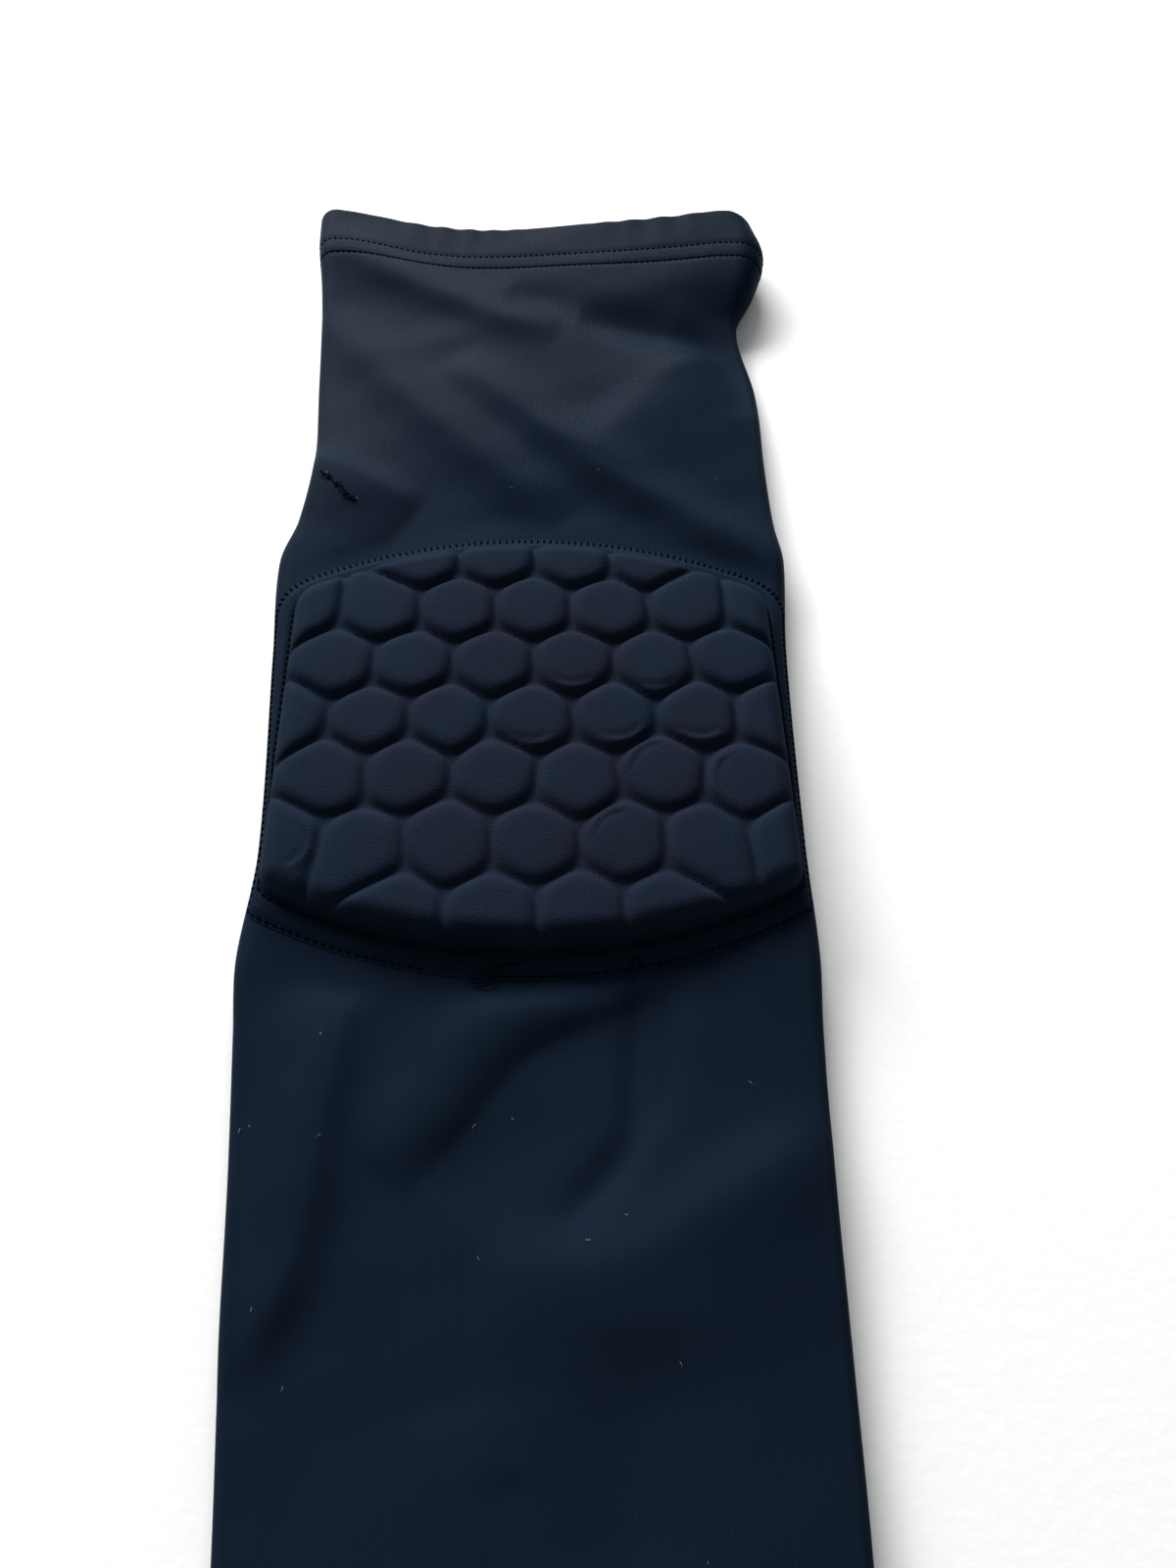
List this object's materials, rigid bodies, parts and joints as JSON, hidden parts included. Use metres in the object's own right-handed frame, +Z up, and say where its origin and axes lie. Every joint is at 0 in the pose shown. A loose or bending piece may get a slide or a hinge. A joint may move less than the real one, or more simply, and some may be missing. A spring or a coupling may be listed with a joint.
{
  "type": "padded elbow sleeve",
  "caption": "Knitted compression sleeve for the arm, lying flat, hollow right through, with turned hems and a foam pad of six-sided cells over the elbow.",
  "frame": {"origin": "on the surface that the sleeve lies on, under the middle of its box", "axes": "+Y along the sleeve towards the upper-arm end, +X to the right with the pad facing up, +Z up"},
  "size_m": [0.1438, 0.416, 0.0167],
  "materials": {
    "knit": "fine stretch knit, near black with a navy cast, soft sheen",
    "pad_cover": "brushed stretch cloth over moulded foam, near black, matt"
  },
  "bodies": {
    "root": {"sleeve_body": "knit", "upper_arm_hem": "knit", "forearm_hem": "knit", "pad_margin": "knit", "elbow_pad": "pad_cover"}
  },
  "joints": []
}
